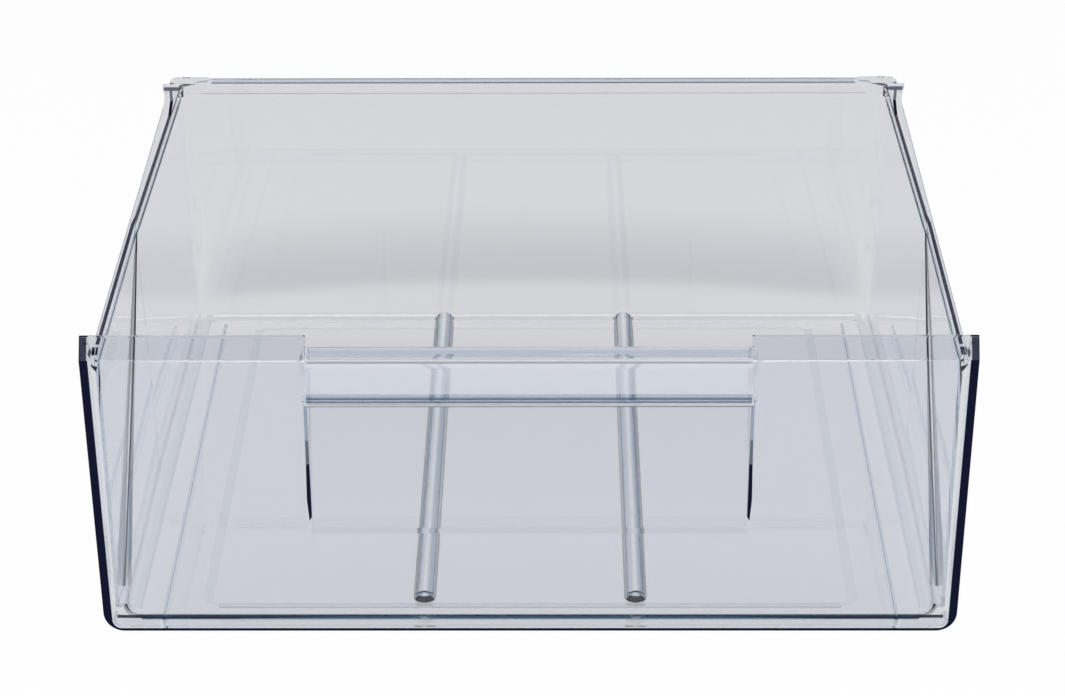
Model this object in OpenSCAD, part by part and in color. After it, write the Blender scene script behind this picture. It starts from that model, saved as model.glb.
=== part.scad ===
// Clear freezer drawer, injection moulded in one piece.
// All sizes are in millimetres. The front face is at -Y and the drawer rests on z = 0.

/* [Front panel] */
// Width of the front panel at its top
panel_w = 460; // [430:1:520]
// Height of the front panel
panel_h = 170; // [155:1:220]
// Thickness of the front panel
panel_t = 3; // [2:0.1:4]
// How much nearer the middle each side stands at the bottom
panel_taper = 4; // [0:0.5:8]
// Outer radius of the two bottom corners
panel_corner_r = 11; // [6:0.5:18]
// Height of the top strip that leans back above the crease
strip_h = 10; // [6:0.5:16]
// How far back the top strip leans
strip_lean = 8; // [3:0.5:14]
// Depth of the flange that goes back round the sides and bottom
flange_d = 13; // [9:0.5:20]
// Thickness of the side flanges
flange_t = 4.2; // [2:0.1:6]
// Thickness of the bottom flange
bottom_flange_t = 2; // [1.5:0.1:3]

/* [Tray] */
// Depth from the front face to the rear edge of the corner tabs
body_d = 388; // [330:1:440]
// Thickness of the side and back walls
wall = 2; // [1.6:0.1:3]
// Height of the floor's upper face above the surface it rests on
floor_z = 9; // [7:0.5:14]
// Thickness of the floor
floor_t = 2.4; // [1.6:0.1:3]
// How much wider each side wall stands at the rim than at the floor
side_draft = 5.7; // [3:0.1:7]
// Angle at which each side wall turns in towards the back, behind the step's head
rear_angle = 0.9; // [0.2:0.1:1.2]
// How much further back the back wall stands at the rim than at the floor
back_draft = 7.5; // [2:0.5:10]
// Inner radius of the upright rear corners at the floor
rear_corner_r = 10; // [7:0.5:30]
// Inner radius of the upright rear corners at the shelf
shelf_corner_r = 4; // [2:0.5:10]
// Inner radius between the floor and the walls
floor_fillet = 6.5; // [3:0.5:6.5]

/* [Rim] */
// Distance from the panel's top edge down to the rim
rim_drop = 6; // [2:0.5:8]
// Distance from the panel's side edge in to the rim's outer edge
rim_inset = 6.5; // [4:0.5:12]
// Thickness of the rim's flange
rim_t = 2.4; // [1.8:0.1:3]
// Width of the side flange outside the upstand
rim_w = 1.9; // [1.5:0.1:6]
// Thickness of the upstand between the shelf and the flange
upstand_t = 2; // [1.6:0.1:3]
// Height of the upstand above the shelf
upstand_h = 6.5; // [4:0.5:10]
// Inner radius of the upstand's rear corners, which are filled out to the corners of the wall
upstand_r = 14; // [12:1:24]
// Width of the side shelf between the wall and the upstand
shelf_w = 0.5; // [0.3:0.1:3]
// Width of the back shelf between the wall and the upstand
shelf_back = 0.5; // [0.3:0.1:5]
// How far the upstand stands further out beside the front part
jog_w = 0.5; // [0:0.1:1]
// Thickness of the lip at the flange's outer edge
lip_t = 1.6; // [1.2:0.1:2.2]
// How far the lip hangs below the flange
lip_down = 1; // [0.5:0.1:3]
// How far the flange flares out at its rear end
flare = 4.5; // [1:0.5:8]
// Length of the flare along the flange
flare_l = 40; // [20:1:60]
// How far the V-shaped brace behind the panel hangs below the flange
brace_h = 9; // [4:0.5:20]
// Distance from the flange's outer edge in to the brace's point
brace_in = 2; // [0:0.5:4]
// Half the angle between the brace's two arms
brace_angle = 36; // [25:1:45]
// Thickness of the brace's arms
brace_t = 1.6; // [1.2:0.1:2.2]

/* [Back rim] */
// Distance from the upstand to the flange's rear edge
back_rim_w = 7; // [4:0.5:14]
// How far the back flange's lip hangs below the flange
back_lip_down = 1.6; // [0.5:0.1:6]
// Thickness of the back flange's lip
back_lip_t = 2.4; // [1.6:0.1:3]
// Width of each raised corner tab
tab_w = 23; // [18:1:36]
// Height of the corner tabs above the flange
tab_up = 0.8; // [0.4:0.1:2]
// Radius of the corner tabs' outer corners
tab_r = 5; // [2:0.5:6]

/* [Side step] */
// How far the front part of each side wall stands out at the shelf
step_top = 0.5; // [0.3:0.1:1]
// How far the front part of each side wall stands out at the floor
step_bottom = 4.2; // [2:0.1:5]
// Where the sloping step meets the floor, back from the front face
step_foot_y = 15; // [10:1:40]
// Where the sloping step meets the shelf, back from the front face
step_head_y = 165; // [80:1:220]
// Length of the ramp across the step
step_ramp = 1.5; // [1:0.5:8]

/* [Floor] */
// Width of the sunk field in the floor
field_w = 350; // [280:1:370]
// Distance from the front face to the field
field_front = 12; // [8:0.5:30]
// Distance from the field to the back wall
field_back = 9; // [8:0.5:30]
// Depth of the field
field_sink = 1; // [0.5:0.1:2.5]
// Width of the slope round the field
field_slope = 5; // [1:0.1:8]
// Corner radius of the field
field_r = 9; // [8.5:0.5:14]
// Distance between the middles of the two beads
bead_gap = 113; // [60:1:200]
// Width of a bead at its foot
bead_w = 12; // [9:0.5:20]
// Height of a bead above the field
bead_h = 4.5; // [3:0.1:5.5]
// Distance between the middles of the two runners under the floor
runner_gap = 389; // [300:1:400]
// Thickness of a runner
runner_t = 1.8; // [1.2:0.1:3]

/* [Handle] */
// Width of the handle at the hood
handle_w = 234; // [160:1:300]
// How much narrower each side of the recess is at its foot
handle_taper = 1; // [0:0.5:8]
// How much narrower each side of the recess is at its back
handle_draft = 1.5; // [0:0.5:4]
// Thickness of the recess walls
handle_wall = 2.5; // [1.8:0.1:3.2]
// Height of the recess's lower edge
recess_z = 59; // [40:1:90]
// Depth of the recess behind the panel's front face, with its wall
recess_d = 24; // [16:0.5:34]
// Radius under the hood at the back of the recess
recess_r = 6; // [3:0.5:10]
// Height of the grip's front plate
grip_h = 27.5; // [20:0.5:36]
// Thickness of the grip's plate and lip
grip_t = 2.8; // [2:0.1:3.6]
// How far the grip stands out from the panel
grip_proud = 2; // [1:0.5:6]
// Outer radius of the grip's upper edge, where it meets the hood
grip_top_r = 4; // [3:0.5:5]
// Outer radius of the grip's lower edge
grip_r = 4.7; // [4:0.1:6]
// How far the grip's lip goes back past its round edge
grip_lip = 1.2; // [0.5:0.1:4]

/* [Hidden] */

$fn = 64;
// Overlap that joins neighbouring forms into one solid
join = 0.6;
// How far cutting forms run past the faces that they cut
past = 10;
// Steps in each quarter round of a lofted form
arc_steps = 10;
// Steps along the side flange's flare
flare_steps = 12;
// Length of the upstand's jog
jog_l = 10;

panel_half = panel_w / 2;
crease_z = panel_h - strip_h;
strip_angle = atan(strip_lean / strip_h);
rim_z = panel_h - rim_drop;
shelf_z = rim_z - upstand_h;
rim_half = panel_half - rim_inset;

// Inner half width of the upstand, and of the tray's rear part at the shelf and at the floor
upstand_half = rim_half - rim_w - upstand_t;
tray_half_shelf = upstand_half - shelf_w;
tray_half_floor = tray_half_shelf - side_draft;

// Inner faces of the upstand and of the back wall at the shelf and at the floor
upstand_y = body_d - back_rim_w - upstand_t;
back_shelf_y = upstand_y - shelf_back;
back_floor_y = back_shelf_y - back_draft;
field_back_y = back_floor_y - field_back;
overall_d = body_d + grip_proud;

// Radius of a bead's round back
bead_r = (bead_w * bead_w / 4 + bead_h * bead_h) / (2 * bead_h);

hood_foot_z = crease_z - handle_wall;
handle_half = handle_w / 2;

function mix(a, b, t) = a + (b - a) * t;
function level(z) = (z - floor_z) / (shelf_z - floor_z);
function reversed(points) = [for (i = [len(points) - 1:-1:0]) points[i]];
function mirrored(points) = [for (p = reversed(points)) [-p.x, p.y]];
function lifted(points, z) = [for (p = points) [p.x, p.y, z]];
function arc(centre, r, from, to) =
    [for (k = [0:arc_steps]) let (a = mix(from, to, k / arc_steps)) centre + r * [cos(a), sin(a)]];

// Closed skin through sections that hold the same number of points, from the lowest to the highest
module loft(sections) {
    n = len(sections[0]);
    last = len(sections) - 1;
    foot = [for (i = [0:n - 1]) i];
    head = [for (i = [n - 1:-1:0]) last * n + i];
    sides = [for (j = [0:last - 1], i = [0:n - 1])
        let (a = j * n + i, b = j * n + (i + 1) % n)
        each [[a, a + n, b + n], [a, b + n, b]]];
    polyhedron([for (s = sections) each s], concat([foot, head], sides));
}

// Prism along X from an outline in Y and Z, centred on the drawer's middle
module across(width) {
    rotate([90, 0, 90])
        translate([0, 0, -width / 2])
            linear_extrude(width) children();
}

// Prism along Y from an outline in X and Z
module along(y, length) {
    translate([0, y + length, 0])
        rotate([90, 0, 0])
            linear_extrude(length) children();
}

module both_sides() {
    children();
    mirror([1, 0, 0]) children();
}

// Front panel

// Crease of the face that lies a distance behind the panel's front
function crease(set_back) = [set_back, crease_z - set_back * tan(strip_angle / 2)];
function strip_point(set_back, z) = let (c = crease(set_back)) [c.x + (z - c.y) * tan(strip_angle), z];

// Outline of the panel, drawn in from its edge at the sides and the bottom
module panel_outline(in_side, in_bottom) {
    r = panel_corner_r - max(in_side, in_bottom);
    lean = atan(panel_taper / panel_h);
    top = [panel_half - in_side + past * tan(lean), panel_h + past];
    foot = panel_half - in_side - (panel_h - in_bottom) * tan(lean);
    centre = [foot + r * (tan(lean) - 1 / cos(lean)), in_bottom + r];
    half = [top, centre + r * [cos(lean), -sin(lean)], [centre.x, in_bottom]];
    polygon(concat(half, mirrored(half)));
    for (s = [-1, 1]) translate([s * centre.x, centre.y]) circle(r);
}

// Side view of the panel, with a round top edge
module panel_side() {
    end = strip_point(panel_t / 2, panel_h - panel_t / 2);
    normal = panel_t / 2 * [cos(strip_angle), -sin(strip_angle)];
    polygon([[0, -past], crease(0), end - normal, end + normal, crease(panel_t), [panel_t, -past]]);
    translate(end) circle(panel_t / 2);
}

// Side view of the flanges, which start inside the panel
module flange_side() {
    end = strip_point(panel_t / 2, panel_h - panel_t / 2);
    polygon([
        [panel_t / 2, -past],
        crease(panel_t / 2),
        end,
        end + [panel_t, 0],
        [flange_d, crease_z - strip_lean],
        [flange_d, -past]
    ]);
}

module front_panel() {
    intersection() {
        along(-past, body_d) panel_outline(0, 0);
        across(panel_w + past) panel_side();
    }
    difference() {
        intersection() {
            along(-past, body_d) panel_outline(0, 0);
            across(panel_w + past) flange_side();
        }
        along(-2 * past, body_d + 2 * past) panel_outline(flange_t, bottom_flange_t);
    }
}

// Tray

// Half width that has turned in from the step's head back to y
function narrowed(half, y) = half - (y - step_head_y) * tan(rear_angle);

// Plan of the tray at one level, square at the front and round at the rear corners
function tray_plan(half, back_y, r) =
    let (centre = [narrowed(half, back_y - r) - r, back_y - r])
    concat(
        [[-half, 0], [half, 0], [half, step_head_y]],
        arc(centre, r, 0, 90),
        arc([-centre.x, centre.y], r, 90, 180),
        [[-half, step_head_y]]
    );

// Tray section at height z, grown by a wall and drawn in by the round at the floor
function tray_section(z, grow, in) = lifted(
    tray_plan(
        mix(tray_half_floor, tray_half_shelf, level(z)) + grow - in,
        mix(back_floor_y, back_shelf_y, level(z)) + grow - in,
        mix(rear_corner_r, shelf_corner_r, level(z)) + grow - in
    ), z);

// Skin of the tray: its inside where it isn't grown, and its outside where it is grown by the wall
module tray_skin(grow, foot_z, head_z) {
    r = floor_fillet + grow;
    loft(concat(
        [for (k = [0:arc_steps]) let (a = 90 * k / arc_steps)
            tray_section(foot_z + r * (1 - cos(a)), grow, r * (1 - sin(a)))],
        [tray_section(head_z, grow, 0)]
    ));
}

// Plan of the tray's front part, which is wider and ends at a sloping step in each side wall
function step_plan(z, grow) =
    let (
        inner = mix(tray_half_floor, tray_half_shelf, level(z)) + grow - join,
        outer = mix(tray_half_floor + step_bottom, tray_half_shelf + step_top, level(z)) + grow,
        y = mix(step_foot_y, step_head_y, level(z)) + grow / 2
    )
    [[-outer, 0], [outer, 0], [outer, y], [inner, y + step_ramp], [-inner, y + step_ramp], [-outer, y]];

module side_step(grow, head_z) {
    foot_z = floor_z + floor_fillet - grow;
    loft([for (z = [foot_z, head_z]) lifted(step_plan(z, grow), z)]);
}

// Plan of the field in the floor, drawn in from its edge
function field_plan(in) =
    let (half = field_w / 2 - in, r = field_r - in, front = field_front + in, back = field_back_y - in)
    concat(
        arc([half - r, front + r], r, -90, 0),
        arc([half - r, back - r], r, 0, 90),
        arc([-half + r, back - r], r, 90, 180),
        arc([-half + r, front + r], r, 180, 270)
    );

// Field sunk below a face, with sloping sides that go on upwards past it
module field(face_z) {
    loft([
        lifted(field_plan(field_slope), face_z - field_sink),
        lifted(field_plan(-field_slope * join / field_sink), face_z + join)
    ]);
}

// Pair of beads on the field, with a round front end, which run into the back wall, drawn in by a wall
module beads(in) {
    foot_z = floor_z - field_sink;
    front = field_front + field_slope + bead_w / 2;
    intersection() {
        for (s = [-1, 1]) translate([s * bead_gap / 2, 0, foot_z + bead_h - bead_r]) {
            along(front, back_floor_y - in - front) circle(bead_r - in);
            translate([0, front, 0]) sphere(bead_r - in);
        }
        translate([-panel_half, 0, foot_z - in - join]) cube([panel_w, body_d, past]);
    }
}

// Pair of runners that the drawer slides on
module runners() {
    for (s = [-1, 1])
        translate([(s * runner_gap - runner_t) / 2, 0, 0])
            cube([runner_t, field_back_y, floor_z - floor_t / 2]);
}

// Plan of the upstand's inner face, grown outwards, which jogs out beside the front part
module upstand_plan(grow, r) {
    half = upstand_half + grow;
    back = upstand_y + grow;
    jog_y = step_head_y + grow / 2;
    side = concat(
        [[half + jog_w, 0], [half + jog_w, jog_y], [narrowed(half, jog_y + jog_l), jog_y + jog_l]],
        arc([narrowed(half, back - r) - r, back - r], r, 0, 90)
    );
    polygon(concat(side, mirrored(side)));
}

// Outer edge of the right side flange from front to back, drawn in by a distance
function flange_edge(in) = concat(
    [[rim_half - in, 0]],
    [for (k = [0:flare_steps]) let (t = k / flare_steps)
        [rim_half - in + flare * t * t, back_shelf_y + flare_l * (t - 1)]]
);

// Edge of the right rear tab, from the side flange round to the flange's rear edge
function tab_edge() = concat([[rim_half, back_shelf_y]], arc([rim_half - tab_r, body_d - tab_r], tab_r, 0, 90));

module rim() {
    tab_in = rim_half - tab_w;
    half = concat(flange_edge(0), tab_edge());
    // Shelf and upstand
    translate([0, 0, shelf_z - wall]) linear_extrude(upstand_h + wall)
        upstand_plan(upstand_t, shelf_corner_r + shelf_w + upstand_t);
    translate([0, 0, rim_z - rim_t]) linear_extrude(rim_t) polygon(concat(half, mirrored(half)));
    translate([0, 0, rim_z - rim_t - lip_down])
        linear_extrude(lip_down + join)
            both_sides() polygon(concat(flange_edge(0), reversed(flange_edge(lip_t))));
    translate([-tab_in, body_d - back_lip_t, rim_z - rim_t - back_lip_down])
        cube([2 * tab_in, back_lip_t, back_lip_down + join]);
    // Raised tabs
    translate([0, 0, rim_z - join]) linear_extrude(join + tab_up) both_sides()
        polygon(concat([[tab_in, back_shelf_y]], tab_edge(), [[tab_in, body_d]]));
}

// V-shaped brace in each corner between the side wall, the rim and the panel's flange
module braces() {
    top = rim_z - rim_t + join;
    tip = rim_z - rim_t - brace_h;
    half = (top - tip) * tan(brace_angle);
    both_sides() translate([rim_half - brace_in, 0, 0]) along(0, flange_d) polygon([
        [0, tip],
        [half, top],
        [half - brace_t / cos(brace_angle), top],
        [0, tip + brace_t / sin(brace_angle)],
        [brace_t / cos(brace_angle) - half, top],
        [-half, top]
    ]);
}

module tray() {
    difference() {
        union() {
            tray_skin(wall, floor_z - floor_t, shelf_z);
            side_step(wall, shelf_z);
            rim();
            braces();
            field(floor_z - floor_t);
            runners();
        }
        tray_skin(0, floor_z, shelf_z + join);
        side_step(0, shelf_z + join);
        translate([0, 0, shelf_z]) linear_extrude(past) upstand_plan(0, upstand_r);
        field(floor_z);
        beads(floor_t);
        // Everything of the tray ends inside the panel
        across(panel_w) polygon([
            [-past, -past],
            [panel_t / 2, -past],
            crease(panel_t / 2),
            strip_point(panel_t / 2, panel_h),
            [-past, panel_h]
        ]);
    }
    difference() {
        beads(0);
        beads(floor_t);
    }
}

// Handle

// Front view of the recess, drawn in at its sides
module recess_front(in) {
    foot = handle_half - handle_taper - in;
    head = handle_half - in;
    polygon([[-foot, recess_z], [foot, recess_z], [head, crease_z], [-head, crease_z]]);
}

// Plan of the recess, drawn in at its sides
module recess_plan(in) {
    front = handle_half - in + handle_draft * past / recess_d;
    back = handle_half - in - handle_draft;
    polygon([[-front, -past], [front, -past], [back, recess_d], [-back, recess_d]]);
}

// Side view of the recess, grown by a wall: a slanted back, a round and a level hood
module recess_side(grow, front_y) {
    slant = atan((recess_d - handle_wall) / (hood_foot_z - recess_z));
    r = recess_r + grow;
    top = hood_foot_z + grow;
    back = grow / cos(slant) + (top - r - recess_z) * tan(slant);
    centre = [back - r / cos(slant), top - r];
    polygon([
        [front_y, recess_z],
        [grow / cos(slant), recess_z],
        centre + r * [cos(slant), -sin(slant)],
        centre,
        [centre.x, top],
        [front_y, top]
    ]);
    intersection() {
        translate(centre) circle(r);
        translate(centre - [0, r * sin(slant)]) square([r, 2 * r]);
    }
}

// Space inside the recess, or the block round it where it is grown by the wall
module recess(grow, front_y) {
    intersection() {
        across(handle_w + past) recess_side(grow, front_y);
        along(-past, body_d) recess_front(handle_wall - grow);
        linear_extrude(panel_h) recess_plan(handle_wall - grow);
    }
}

// Grip: a plate in front of the recess whose lower edge rolls back into a lip
module grip() {
    bend = [grip_r - grip_proud, crease_z - grip_h + grip_r];
    across(handle_w) translate([-grip_proud, bend.y]) square([grip_t, crease_z - bend.y]);
    intersection() {
        across(handle_w) {
            difference() {
                intersection() {
                    translate(bend) circle(grip_r);
                    translate(bend - [grip_r, grip_r]) square(grip_r);
                }
                translate(bend) circle(grip_r - grip_t);
            }
            translate([bend.x, bend.y - grip_r]) square([grip_lip, grip_t]);
            translate([bend.x + grip_lip, bend.y - grip_r + grip_t / 2]) circle(grip_t / 2);
        }
        along(-past, body_d) recess_front(handle_wall / 2);
    }
}

// What the round takes off the upper edge of the grip and the hood
module grip_top_cut() {
    corner = [grip_top_r - grip_proud, crease_z - grip_top_r];
    across(handle_w - 2 * handle_wall) difference() {
        translate([-past, corner.y]) square([corner.x + past, past]);
        translate(corner) circle(grip_top_r);
    }
}

// The front panel with the handle's recess and grip
module front_with_handle() {
    difference() {
        union() {
            difference() {
                front_panel();
                // The leaning strip stops at each side of the handle
                translate([handle_wall - handle_half, -past, crease_z])
                    cube([handle_w - 2 * handle_wall, body_d, panel_h]);
            }
            recess(handle_wall, panel_t / 2);
        }
        recess(0, -past);
        grip_top_cut();
    }
    difference() {
        grip();
        grip_top_cut();
    }
}

module drawer() {
    color("lightsteelblue") translate([0, grip_proud - overall_d / 2, 0]) {
        tray();
        front_with_handle();
    }
}

drawer();
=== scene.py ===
import math

import bmesh
import bpy
import numpy as np
from mathutils import Matrix, Vector


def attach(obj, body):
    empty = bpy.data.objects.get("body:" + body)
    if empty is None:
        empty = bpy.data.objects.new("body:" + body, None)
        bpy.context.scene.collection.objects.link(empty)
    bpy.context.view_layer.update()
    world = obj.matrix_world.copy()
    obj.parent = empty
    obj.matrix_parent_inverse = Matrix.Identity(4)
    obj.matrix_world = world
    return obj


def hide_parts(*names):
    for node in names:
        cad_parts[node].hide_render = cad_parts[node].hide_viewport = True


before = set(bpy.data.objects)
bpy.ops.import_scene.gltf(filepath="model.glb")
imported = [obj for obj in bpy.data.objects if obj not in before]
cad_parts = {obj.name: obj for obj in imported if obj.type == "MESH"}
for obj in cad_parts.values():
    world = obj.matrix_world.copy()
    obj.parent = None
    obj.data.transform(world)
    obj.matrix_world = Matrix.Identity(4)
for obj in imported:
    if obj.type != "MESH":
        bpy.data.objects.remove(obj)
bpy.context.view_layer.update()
print("frame loaded")

# What a user would change about the view
view = {
    "place": (0.01357, -1.66768, 0.88341),
    "pitchDown": 25.909,
    "yaw": -0.45,
    "roll": -0.24,
    "focalPixels": 3221.95,
    "imageWidth": 1065.0,
}

# Room: pale floor, white to the camera, a pale band above the horizon and a dim blue ceiling
room = {
    "floorSize": 12.0,
    "floorHeight": -0.0005,
    "floorColour": (0.78, 0.78, 0.79, 1),
    "white": (1, 1, 1, 1),
    "seenShadow": 0.04,
    # Painted soft shadow on the floor behind the drawer, seen through and in the plastic
    "shadeNear": (0.238, 0.268),
    "shadeFar": (0.270, 0.400),
    "shadeEnd": (0.036, 0.052),
    "shadeBend": 0.55,
    "glow": 0.62,
    "glowColour": (0.74, 0.74, 0.735, 1),
    "shadeColour": (0.54, 0.54, 0.545, 1),
    "bandColour": (0.74, 0.74, 0.745, 1),
    "ceilingColour": (0.03, 0.035, 0.06, 1),
    "bandTop": 0.45,
    "ceilingFoot": 0.75,
}

# Clear moulded plastic; what a metre of it takes from red, green and blue is density * (1 - colour)
plastic = {
    "tint": (0.940, 0.955, 0.990, 1),
    # The next colours are painted: shade that turns slate then navy, and painted light, for how the clear walls look
    "slate": (0.075, 0.16, 0.28, 1),
    "navy": (0.008, 0.009, 0.028, 1),
    "navyFrom": (0.45, 0.95),
    "paintedLight": (0.82, 0.84, 0.88, 1),
    "absorbColour": (0.0, 0.30, 0.65, 1),
    "density": 3.0,
    "ior": 1.57,
    "roughness": 0.0,
    "smoothAngle": 28.0,
    "flatAngle": 0.1,
    "flatWidth": 0.0022,
    "mergeDistance": 0.00001,
    "shadowPass": 0.96,
}


# Output socket with the arithmetic that the materials use
class Socket:
    def __init__(self, tree, out):
        self.tree = tree
        self.out = out

    def node(self, kind, settings=None, **inputs):
        # One node: its settings first, then the values or links of its sockets
        return makeNode(self.tree, kind, settings, **inputs)

    def math(self, operation, *values):
        n = self.tree.nodes.new("ShaderNodeMath")
        n.operation = operation
        for i, v in enumerate(values):
            feed(self.tree, n.inputs[i], v)
        return Socket(self.tree, n.outputs[0])

    def __add__(self, other):
        return self.math("ADD", self, other)

    __radd__ = __add__

    def __sub__(self, other):
        return self.math("SUBTRACT", self, other)

    def __rsub__(self, other):
        return self.math("SUBTRACT", other, self)

    def __mul__(self, other):
        return self.math("MULTIPLY", self, other)

    __rmul__ = __mul__

    def __truediv__(self, other):
        return self.math("DIVIDE", self, other)

    def power(self, other):
        return self.math("POWER", self, other)

    def largest(self, other):
        return self.math("MAXIMUM", self, other)

    def smallest(self, other):
        return self.math("MINIMUM", self, other)

    def size(self):
        return self.math("ABSOLUTE", self)

    def ramp(self, low, high):
        # Smooth step from 0 at low to 1 at high
        n = self.tree.nodes.new("ShaderNodeMapRange")
        n.interpolation_type = "SMOOTHSTEP"
        feed(self.tree, n.inputs["Value"], self)
        n.inputs["From Min"].default_value = low
        n.inputs["From Max"].default_value = high
        return Socket(self.tree, n.outputs[0])


def feed(tree, socket, value):
    if isinstance(value, Socket):
        tree.links.new(value.out, socket)
    else:
        socket.default_value = value


def makeNode(tree, kind, settings=None, **inputs):
    n = tree.nodes.new(kind)
    for key, value in (settings or {}).items():
        setattr(n, key, value)
    for key, value in inputs.items():
        feed(tree, n.inputs[int(key[1:]) if key[1:].isdigit() else key.replace("_", " ")], value)
    return n


def outputOf(tree, n, name=0):
    return Socket(tree, n.outputs[name])


def newMaterial(name):
    m = bpy.data.materials.new(name)
    m.use_nodes = True
    m.node_tree.nodes.clear()
    return m, m.node_tree


def makePlastic():
    # Clear plastic, which turns to slate and then navy with the face attribute dark, painted shade, and pale with
    # the attribute pale, painted light and highlights
    m, tree = newMaterial("clearPlastic")
    dark = outputOf(tree, makeNode(tree, "ShaderNodeAttribute", {"attribute_name": "dark"}), "Fac")
    pale = outputOf(tree, makeNode(tree, "ShaderNodeAttribute", {"attribute_name": "pale"}), "Fac")
    clear = makeNode(tree, "ShaderNodeBsdfPrincipled", Base_Color=plastic["tint"], Roughness=plastic["roughness"],
                     IOR=plastic["ior"], Transmission_Weight=1.0)
    # Painted light: a pale diffuse layer where the attribute pale stands for highlights, sheen and reflections
    paintedLight = makeNode(tree, "ShaderNodeBsdfPrincipled", Base_Color=plastic["paintedLight"], Roughness=0.5,
                    Specular_IOR_Level=0.0)
    # Painted shade: slate to navy where the attribute dark stands for the dark look of light led along the walls
    deep = makeNode(tree, "ShaderNodeMix", {"data_type": "RGBA"}, i0=dark.ramp(*plastic["navyFrom"]),
                    i6=plastic["slate"], i7=plastic["navy"])
    paintedShade = makeNode(tree, "ShaderNodeBsdfPrincipled", Base_Color=outputOf(tree, deep, 2), Roughness=0.5,
                   Specular_IOR_Level=0.0)
    body = makeNode(tree, "ShaderNodeMixShader", i0=pale, i1=outputOf(tree, clear), i2=outputOf(tree, paintedLight))
    body = makeNode(tree, "ShaderNodeMixShader", i0=dark, i1=outputOf(tree, body), i2=outputOf(tree, paintedShade))
    # Light that only passes on its way to a lamp is let through, so that the shadow stays pale
    path = makeNode(tree, "ShaderNodeLightPath")
    through = makeNode(tree, "ShaderNodeBsdfTransparent", Color=(plastic["shadowPass"],) * 3 + (1,))
    mix = makeNode(tree, "ShaderNodeMixShader", i0=outputOf(tree, path, "Is Shadow Ray"),
                   i1=outputOf(tree, body), i2=outputOf(tree, through))
    inside = makeNode(tree, "ShaderNodeVolumeAbsorption", Color=plastic["absorbColour"], Density=plastic["density"])
    makeNode(tree, "ShaderNodeOutputMaterial", Surface=outputOf(tree, mix), Volume=outputOf(tree, inside))
    return m


def makeFloor():
    # Flat square under the drawer
    half = room["floorSize"] / 2
    u = np.array([-1.0, 1.0])
    corners = np.stack(np.meshgrid(u * half, u * half), -1).reshape(-1, 2)
    mesh = bpy.data.meshes.new("floor")
    mesh.from_pydata([(a, b, room["floorHeight"]) for a, b in corners], [], [(0, 1, 3, 2)])
    obj = bpy.data.objects.new("floor", mesh)
    bpy.context.scene.collection.objects.link(obj)
    m, tree = newMaterial("paleFloor")
    path = makeNode(tree, "ShaderNodeLightPath")
    # Painted soft shadow behind the drawer, sharper towards it and rounded at its ends
    place = makeNode(tree, "ShaderNodeTexCoord")
    split = makeNode(tree, "ShaderNodeSeparateXYZ", Vector=outputOf(tree, place, "Object"))
    x, y = outputOf(tree, split, "X"), outputOf(tree, split, "Y")
    end = (x * x) * room["shadeBend"]
    near, far = room["shadeNear"], room["shadeFar"]
    shade = (y + end).ramp(*near) * (1 - (y + end).ramp(*far)) * (1 - (x * x).ramp(*room["shadeEnd"]))
    tone = makeNode(tree, "ShaderNodeMix", {"data_type": "RGBA"}, i0=shade, i6=room["glowColour"],
                    i7=room["shadeColour"])
    diffuse = makeNode(tree, "ShaderNodeBsdfDiffuse", Color=room["floorColour"])
    pale = makeNode(tree, "ShaderNodeEmission", Color=outputOf(tree, tone, 2), Strength=1.0)
    white = makeNode(tree, "ShaderNodeEmission", Color=room["white"], Strength=1.0)
    through = outputOf(tree, path, "Is Transmission Ray").largest(outputOf(tree, path, "Is Glossy Ray"))
    lit = makeNode(tree, "ShaderNodeMixShader", i0=through * room["glow"], i1=outputOf(tree, diffuse),
                   i2=outputOf(tree, pale))
    seen = outputOf(tree, path, "Is Camera Ray") * (1 - room["seenShadow"])
    mix = makeNode(tree, "ShaderNodeMixShader", i0=seen, i1=outputOf(tree, lit), i2=outputOf(tree, white))
    makeNode(tree, "ShaderNodeOutputMaterial", Surface=outputOf(tree, mix))
    mesh.materials.append(m)
    return obj


def makeSky():
    # Pale up to bandTop, dim above ceilingFoot, both as the height of a unit direction
    world = bpy.data.worlds.new("studio")
    bpy.context.scene.world = world
    world.use_nodes = True
    tree = world.node_tree
    tree.nodes.clear()
    place = makeNode(tree, "ShaderNodeTexCoord")
    split = makeNode(tree, "ShaderNodeSeparateXYZ", Vector=outputOf(tree, place, "Generated"))
    up = outputOf(tree, split, "Z").ramp(room["bandTop"], room["ceilingFoot"])
    sky = makeNode(tree, "ShaderNodeMix", {"data_type": "RGBA"}, i0=up, i6=room["bandColour"],
                   i7=room["ceilingColour"])
    path = makeNode(tree, "ShaderNodeLightPath")
    around = makeNode(tree, "ShaderNodeBackground", Color=outputOf(tree, sky, 2), Strength=1.0)
    white = makeNode(tree, "ShaderNodeBackground", Color=room["white"], Strength=1.0)
    mix = makeNode(tree, "ShaderNodeMixShader", i0=outputOf(tree, path, "Is Camera Ray"),
                   i1=outputOf(tree, around), i2=outputOf(tree, white))
    makeNode(tree, "ShaderNodeOutputWorld", Surface=outputOf(tree, mix))


def softBox(name, place, aim, width, height, watts):
    light = bpy.data.lights.new(name, "AREA")
    light.shape = "RECTANGLE"
    light.size, light.size_y, light.energy = width, height, watts
    obj = bpy.data.objects.new(name, light)
    obj.location = place
    obj.rotation_euler = (Vector(aim) - Vector(place)).to_track_quat("-Z", "Y").to_euler()
    bpy.context.scene.collection.objects.link(obj)
    return obj


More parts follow.
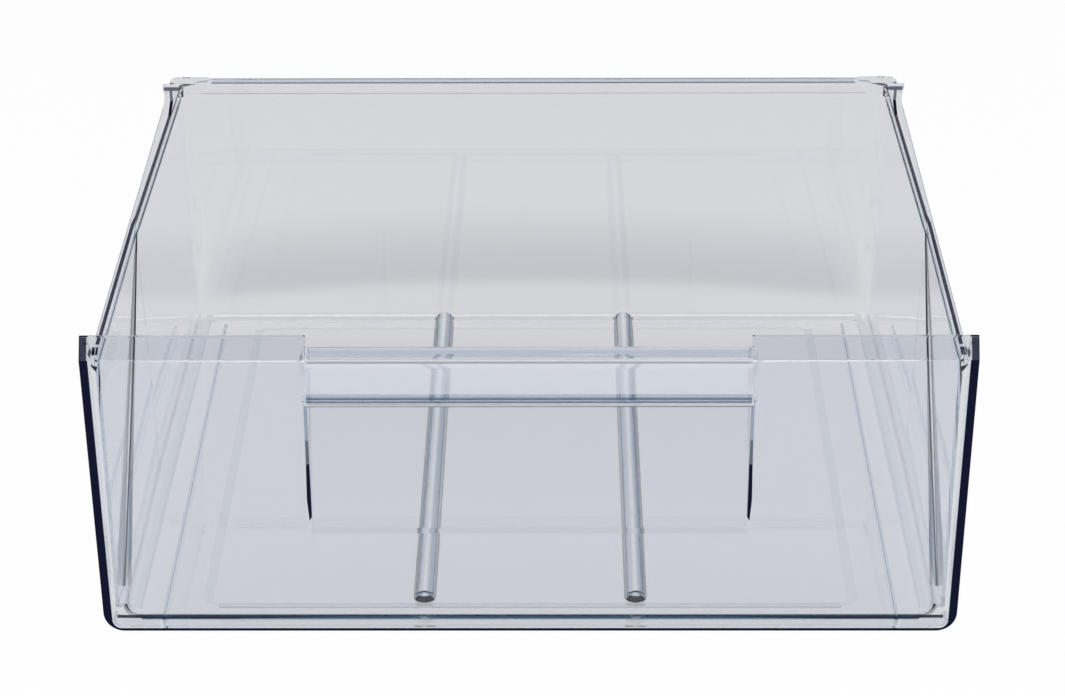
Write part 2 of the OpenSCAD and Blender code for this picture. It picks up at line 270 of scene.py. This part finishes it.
def roundedNormals(mesh):
    # Direction of each face corner: a face wider than flatWidth keeps its own; a narrower one, a facet
    # of a round, takes the mean of the faces at that corner within smoothAngle, by their width to the 4th
    faces, corners = len(mesh.polygons), len(mesh.loops)
    normal, area = np.empty(faces * 3), np.empty(faces)
    start, total = np.empty(faces, int), np.empty(faces, int)
    vertex = np.empty(corners, int)
    mesh.polygons.foreach_get("normal", normal)
    mesh.polygons.foreach_get("area", area)
    mesh.polygons.foreach_get("loop_start", start)
    mesh.polygons.foreach_get("loop_total", total)
    mesh.loops.foreach_get("vertex_index", vertex)
    normal = normal.reshape(-1, 3)
    place = np.empty(len(mesh.vertices) * 3)
    mesh.vertices.foreach_get("co", place)
    place = place.reshape(-1, 3)
    face = np.repeat(np.arange(faces), total)
    step = np.arange(corners) - start[face]
    following = start[face] + (step + 1) % total[face]
    side = np.linalg.norm(place[vertex[following]] - place[vertex], axis=1)
    width = 2 * area / np.bincount(face, side, faces)
    # Table of the corners that meet at each vertex
    order = np.argsort(vertex, kind="stable")
    count = np.bincount(vertex, minlength=len(place))
    first = np.cumsum(count) - count
    slot = np.arange(corners) - first[vertex[order]]
    table = np.full((len(place), count.max()), -1)
    table[vertex[order], slot] = face[order]
    near = table[vertex]
    likeness = np.einsum("ijk,ik->ij", normal[near], normal[face])
    joined = (near >= 0) & (likeness > math.cos(math.radians(plastic["smoothAngle"])))
    weight = np.where(joined, width[near] ** 4, 0.0)
    mean = np.einsum("ij,ijk->ik", weight, normal[near])
    mean /= np.linalg.norm(mean, axis=1)[:, None]
    return np.where((width[face] > plastic["flatWidth"])[:, None], normal[face], mean)


# Painted shade and painted highlights: how dark or pale each part of the plastic looks, because of the light that
# comes along its walls.
# Each strip is mirrored to both sides: face family, value, then its corners in millimetres, as the
# half width and the height on the front, or the half width and the distance from the front on the rim
darkStrips = [
    ("front", 0.62, (0, 6.9), (206, 6.9), (206, 9.3), (0, 9.3)),
    ("front", 0.86, (160, 7.4), (206, 7.4), (206, 8.8), (100, 8.8)),
    ("front", 0.92, (206, 7.9), (219, 7.9), (219, 9.8), (206, 9.8)),
    ("front", 1.0, (114.9, 66.6), (115.9, 79), (115.7, 100), (113.4, 100), (113.0, 70)),
    ("front", 0.8, (113.4, 100), (115.7, 100), (115.7, 114), (113.4, 114)),
    ("front", 0.55, (113.4, 114), (115.7, 114), (115.9, 138), (114.0, 138)),
    ("front", 0.75, (116.0, 141), (116.9, 141), (116.9, 147), (116.0, 147)),
    ("strip", 0.93, (225.9, 160), (232, 160), (232, 171), (226.1, 171)),
    ("rim", 0.92, (218, 10), (222.1, 10), (222.1, 165), (218, 165)),
    ("rim", 0.92, (218, 165), (222.1, 165), (221.2, 175), (218, 175)),
    ("rim", 0.88, (215, 175), (221.2, 175), (218.8, 325), (215, 325)),
    ("rim", 1.0, (217.0, 325), (218.8, 325), (220.3, 350), (218.4, 350)),
    ("rim", 0.8, (218.4, 350), (220.3, 350), (222.5, 367), (220.8, 367)),
    ("rim", 0.84, (214.5, 367), (229, 367), (229, 373), (214.5, 373)),
    ("rim", 0.6, (206, 378.2), (214, 372), (214.5, 373.6), (206.5, 380)),
    ("tab", 0.6, (200, 380.4), (207, 378.4), (207, 380.4), (200, 382.4)),
    ("rim", 0.8, (0, 378), (198, 378), (198, 381), (0, 381)),
    ("rim", 0.16, (0, 381), (198, 381), (198, 387.2), (0, 387.2)),
    ("rim", 0.35, (0, 387.2), (198, 387.2), (198, 389), (0, 389)),
    ("rim", 0.4, (223.0, 20), (224, 20), (224, 340), (223.0, 340)),
    ("foot", 0.45, (193.9, 0), (195.1, 0), (195.1, 362), (193.9, 362)),
    ("hood", 0.18, (0, 3.5), (114, 3.5), (114, 12.4), (0, 12.4)),
    ("hood", 0.12, (0, 12.4), (114, 12.4), (114, 15.7), (0, 15.7)),
    ("ramp", 0.9, (218.9, 158), (219.8, 158), (218.4, 115), (217.5, 115)),
    ("ramp", 0.9, (217.5, 115), (218.4, 115), (217.9, 61), (217.1, 61)),
    ("ramp", 0.9, (217.1, 61), (217.9, 61), (217.7, 12), (216.9, 12)),
    ("ramp", 0.5, (217.1, 61), (216.9, 12), (214.3, 26), (214.3, 33), (216.3, 61)),
    ("grip", 0.22, (0, 140.0), (114.4, 140.0), (114.4, 141.7), (0, 141.7)),
    ("grip", 0.55, (0, 139.3), (114.4, 139.3), (114.4, 140.0), (0, 140.0)),
    ("grip", 0.80, (0, 138.5), (114.4, 138.5), (114.4, 139.3), (0, 139.3)),
    ("grip", 0.42, (0, 137), (114.4, 137), (114.4, 138.5), (0, 138.5)),
]
paleStrips = [
    ("front", 0.95, (118, 159.2), (200, 159.4), (200, 160), (118, 160)),
    ("front", 0.5, (193.0, 1.5), (196.2, 1.5), (196.2, 6.8), (193.0, 6.8)),
    ("ramp", 0.45, (212, 9), (221, 9), (221, 150), (212, 150)),
    ("grip", 0.36, (0, 141.7), (114.4, 141.7), (114.4, 160), (0, 160)),
    ("hoodEnd", 0.7, (114.5, -3), (117.1, -3), (117.1, 26), (114.5, 26)),
]

# The painted dark band along the panel's edge, shade for the light led along the flange, in millimetres
band = {
    "panelHalf": 230.0,
    "panelHeight": 170.0,
    "taper": 4.0,
    "side": 4.4,
    "foot": 1.6,
    "round": 5.0,
}

# Painted shade and highlights on rounds, whose tone changes with the direction of the face
rounds = {
    "beadX": 0.0565,
    "beadHalf": 0.0062,
    "beadFoot": 0.0079,
    "beadLeft": 0.26,
    "beadRight": 0.42,
    "beadFront": 1.0,
    "beadPale": 0.55,
    "gripPale": 0.45,
    "gripLine": 0.8,
    "hoodPale": 0.36,
    "rampPale": 0.55,
    "cornerPale": 0.7,
    "cornerEnd": 0.009,
    "filletPale": 0.25,
    "filletDark": 0.10,
    "filletLine": 0.16,
    "slopePale": 0.22,
    "slopeRear": 0.5,
    "slopeDark": 0.07,
    "shelfDark": 0.7,
}


def familyOf(f):
    # Names the flat faces that carry strips by their direction and place
    m, n = f.calc_center_median() * 1000, f.normal
    y = m.y + 193
    if n.y < -0.9999:
        return "front" if abs(y) < 0.1 else "grip" if abs(y + 2) < 0.1 else ""
    if n.z > 0.9999:
        if abs(m.z - 160) < 0.1:
            return "hoodEnd" if abs(m.x) > 114.4 else "hood"
        return {1640: "rim", 1648: "tab"}.get(round(m.z * 10), "")
    if n.z < -0.9999 and abs(m.z) < 0.1 and y > 14:
        return "foot"
    if n.y < -0.7 and 0.5 < n.z < 0.7 and m.z > 159.9:
        return "strip"
    if n.y < -0.1 and abs(n.x) > 0.2 and n.x * m.x < 0 and 212 < abs(m.x) < 220 and 10 < y < 172 and m.z > 9:
        return "ramp"
    return ""


def outlinePlanes(corners, side, upright):
    # Planes through the edges of a convex outline, with outward normals
    flat = [Vector((side * a, b)) / 1000 for a, b in corners]
    middle = sum(flat, Vector((0, 0))) / len(flat)
    planes = []
    for p, q in zip(flat, flat[1:] + flat[:1]):
        along = (q - p).normalized()
        out = Vector((along.y, -along.x))
        if (p - middle).dot(out) < 0:
            out = -out
        if upright:
            planes.append((Vector((p.x, 0, p.y)), Vector((out.x, 0, out.y))))
        else:
            planes.append((Vector((p.x, p.y - 0.193, 0)), Vector((out.x, out.y, 0))))
    return planes


def insidePlanes(point, planes):
    return all((point - p).dot(n) < 0.000005 for p, n in planes)


def nearPlanes(f, planes):
    # Whether a face may reach inside the planes
    return all(min((v.co - p).dot(n) for v in f.verts) < -0.000005 for p, n in planes)


def cutFaces(work, faces, point, normal):
    parts = faces + list({e for f in faces for e in f.edges} | {v for f in faces for v in f.verts})
    bmesh.ops.bisect_plane(work, geom=parts, plane_co=point, plane_no=normal, dist=0.000005)


def paintStrip(work, layer, family, value, corners):
    # Cuts one strip out of its family of faces on both sides and gives it its value
    for side in (-1, 1):
        planes = outlinePlanes(corners, side, family in ("front", "grip", "strip", "ramp"))
        for point, normal in planes:
            faces = [f for f in work.faces if nearPlanes(f, planes) and familyOf(f) == family]
            cutFaces(work, faces, point, normal)
        for f in work.faces:
            if nearPlanes(f, planes) and familyOf(f) == family and insidePlanes(f.calc_center_median(), planes):
                f[layer] = value


def bandPlanes(side):
    # Planes round the inside of the front face's painted dark band: its foot, the round and its side
    slope, r = band["taper"] / band["panelHeight"], band["round"]
    lean = math.atan(slope)
    z = band["foot"] + r
    x = band["panelHalf"] - band["side"] - (band["panelHeight"] - z) * slope - r / math.cos(lean)
    centre = Vector((side * x, 0, z)) / 1000
    angles = [math.radians(a) for a in (-90, -72, -54, -36, -18)] + [-lean]
    normals = [Vector((side * math.cos(a), 0, math.sin(a))) for a in angles]
    return [(centre + r / 1000 * n, n) for n in normals]


def roundTone(f):
    # Dark and pale values of a face of a round: painted shade and painted highlight
    m, n = f.calc_center_median(), f.normal
    y = m.y + 0.193
    if abs(abs(m.x) - rounds["beadX"]) < rounds["beadHalf"] and m.z > rounds["beadFoot"] and n.z > 0.1 and y < 0.368:
        if n.y < -0.45:
            return rounds["beadFront"] * (1.0 if n.z < 0.75 else 0.3), 0
        if abs(n.x) > 0.72:
            return 0, rounds["beadPale"]
        return (rounds["beadRight"] if n.x > 0 else rounds["beadLeft"]) * min(1, max(0, abs(n.x) - 0.1) * 5), 0
    if 0.206 < abs(m.x) < 0.2215 and 0.0040 < m.z < 0.034 and 0.0005 < y < 0.026 and -0.9999 < n.y < 0.9999:
        return 0, rounds["cornerPale"]
    if n.y > 0.4 and n.z < -0.4 and 0.212 < abs(m.x) < 0.222 and 0.01 < y < 0.172:
        return 0, rounds["rampPale"]
    if y < 0.004 and abs(m.x) < 0.1165 and -0.99 < n.y < 0 and n.z < -0.01 and 0.130 < m.z < 0.138:
        return (rounds["gripLine"], 0) if m.z < 0.1343 else (0, rounds["gripPale"])
    if y < 0.003 and abs(m.x) < 0.1165 and -0.999 < n.y < 0 and n.z > 0.01 and 0.155 < m.z < 0.1605:
        return 0, rounds["hoodPale"]
    if 0.0088 < m.z < 0.0158 and abs(n.y) < 0.2 and n.x * m.x < 0 and 0.2 < abs(m.x) < 0.219 and 0.1 < n.z < 0.9999:
        if n.z > 0.98:
            return rounds["filletLine"], 0
        return (rounds["filletDark"], 0) if n.z > 0.7 else (0, rounds["filletPale"])
    if 0.0079 < m.z < 0.0091 and 0.9 < n.z < 0.9999 and abs(m.x) < 0.1751 and y < 0.3625:
        if y > 0.352:
            return 0, rounds["slopeRear"]
        out = max(abs(m.x) - 0.170, 0.017 - y)
        return (0, rounds["slopePale"]) if out > 0.0025 else (rounds["slopeDark"], 0)
    if n.z > 0.999 and abs(m.z - 0.1575) < 0.0001:
        return rounds["shelfDark"] * (1.4 if y > 0.37 and 0.197 < abs(m.x) < 0.211 else 1), 0
    return 0, 0


def paintDrawer(work):
    # Painted shade and highlights: tones of the rounds by their faces, then the strips that are cut out of the flat
    # faces
    dark, pale = (work.faces.layers.float.new(name) for name in ("dark", "pale"))
    isCorner = lambda f: all(abs(v.co.x) > 0.2 and v.co.z < 0.036 for v in f.verts)
    cutFaces(work, [f for f in work.faces if isCorner(f)], (0, rounds["cornerEnd"] - 0.193, 0), (0, 1, 0))
    for f in work.faces:
        f[dark], f[pale] = roundTone(f)
    for strip in paleStrips:
        paintStrip(work, pale, strip[0], strip[1], strip[2:])
    for strip in darkStrips:
        paintStrip(work, dark, strip[0], strip[1], strip[2:])
    isFoot = lambda f: familyOf(f) == "front" and min(v.co.z for v in f.verts) < band["foot"] / 1000
    cutFaces(work, [f for f in work.faces if isFoot(f)], (0, 0, band["foot"] / 1000), (0, 0, 1))
    # Painted shade: the dark band along the front face's sides and foot
    for side in (-1, 1):
        planes = bandPlanes(side)
        isFront = lambda f: familyOf(f) == "front" and f.calc_center_median().x * side > 0.05
        for point, normal in planes:
            cutFaces(work, [f for f in work.faces if isFront(f)], point, normal)
        for f in work.faces:
            if isFront(f) and not insidePlanes(f.calc_center_median(), planes):
                f[dark] = 1.0
    foot = [f for f in work.faces if familyOf(f) == "front" and f.calc_center_median().z < band["foot"] / 1000]
    for f in foot:
        f[dark] = 1.0
    print("painted faces:", sum(f[dark] > 0 for f in work.faces), sum(f[pale] > 0 for f in work.faces))


def makeDrawer():
    # Merged copy of the drawer's solid, its flat faces joined and its rounds shaded as curves
    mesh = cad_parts["drawer"].data.copy()
    mesh.name = "clearDrawer"
    work = bmesh.new()
    work.from_mesh(mesh)
    bmesh.ops.remove_doubles(work, verts=work.verts, dist=plastic["mergeDistance"])
    bmesh.ops.dissolve_limit(work, angle_limit=math.radians(plastic["flatAngle"]), verts=work.verts,
                             edges=work.edges)
    paintDrawer(work)
    work.to_mesh(mesh)
    work.free()
    mesh.shade_smooth()
    mesh.normals_split_custom_set(roundedNormals(mesh).tolist())
    obj = bpy.data.objects.new("clearDrawer", mesh)
    bpy.context.scene.collection.objects.link(obj)
    mesh.materials.clear()
    mesh.materials.append(makePlastic())
    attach(obj, "root")
    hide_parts("drawer")
    return obj


def makeCamera():
    # Axes of the view from its pitch, yaw and roll
    e, a, r = (math.radians(view[k]) for k in ("pitchDown", "yaw", "roll"))
    ahead = np.array([math.sin(a) * math.cos(e), math.cos(a) * math.cos(e), -math.sin(e)])
    right = np.cross(ahead, [0, 0, 1])
    right /= np.linalg.norm(right)
    up = np.cross(right, ahead)
    right, up = right * math.cos(r) + up * math.sin(r), up * math.cos(r) - right * math.sin(r)
    data = bpy.data.cameras.new("camera")
    data.sensor_width = 36.0
    data.lens = view["focalPixels"] / view["imageWidth"] * data.sensor_width
    data.clip_start, data.clip_end = 0.05, 50.0
    obj = bpy.data.objects.new("camera", data)
    obj.matrix_world = Matrix([
        [right[0], up[0], -ahead[0], view["place"][0]],
        [right[1], up[1], -ahead[1], view["place"][1]],
        [right[2], up[2], -ahead[2], view["place"][2]],
        [0, 0, 0, 1],
    ])
    bpy.context.scene.collection.objects.link(obj)
    bpy.context.scene.camera = obj


makeCamera()
makeSky()
makeFloor()
softBox("softBoxTop", (0.0, -0.75, 1.45), (0, 0.1, 0), 1.1, 0.6, 20).visible_glossy = False
softBox("softBoxLeft", (-1.5, 0.5, 0.9), (0, 0, 0.05), 0.3, 1.0, 6)
softBox("softBoxRight", (1.5, 0.5, 0.9), (0, 0, 0.05), 0.3, 1.0, 6)
print("room made")

makeDrawer()
print("drawer made")

scene = bpy.context.scene
scene.view_settings.view_transform = "Standard"
scene.cycles.max_bounces = 24
scene.cycles.transmission_bounces = 24
scene.cycles.transparent_max_bounces = 24
scene.cycles.glossy_bounces = 8
scene.cycles.use_denoising = True
scene.cycles.caustics_reflective = False
scene.cycles.caustics_refractive = False
scene.cycles.sample_clamp_indirect = 4.0
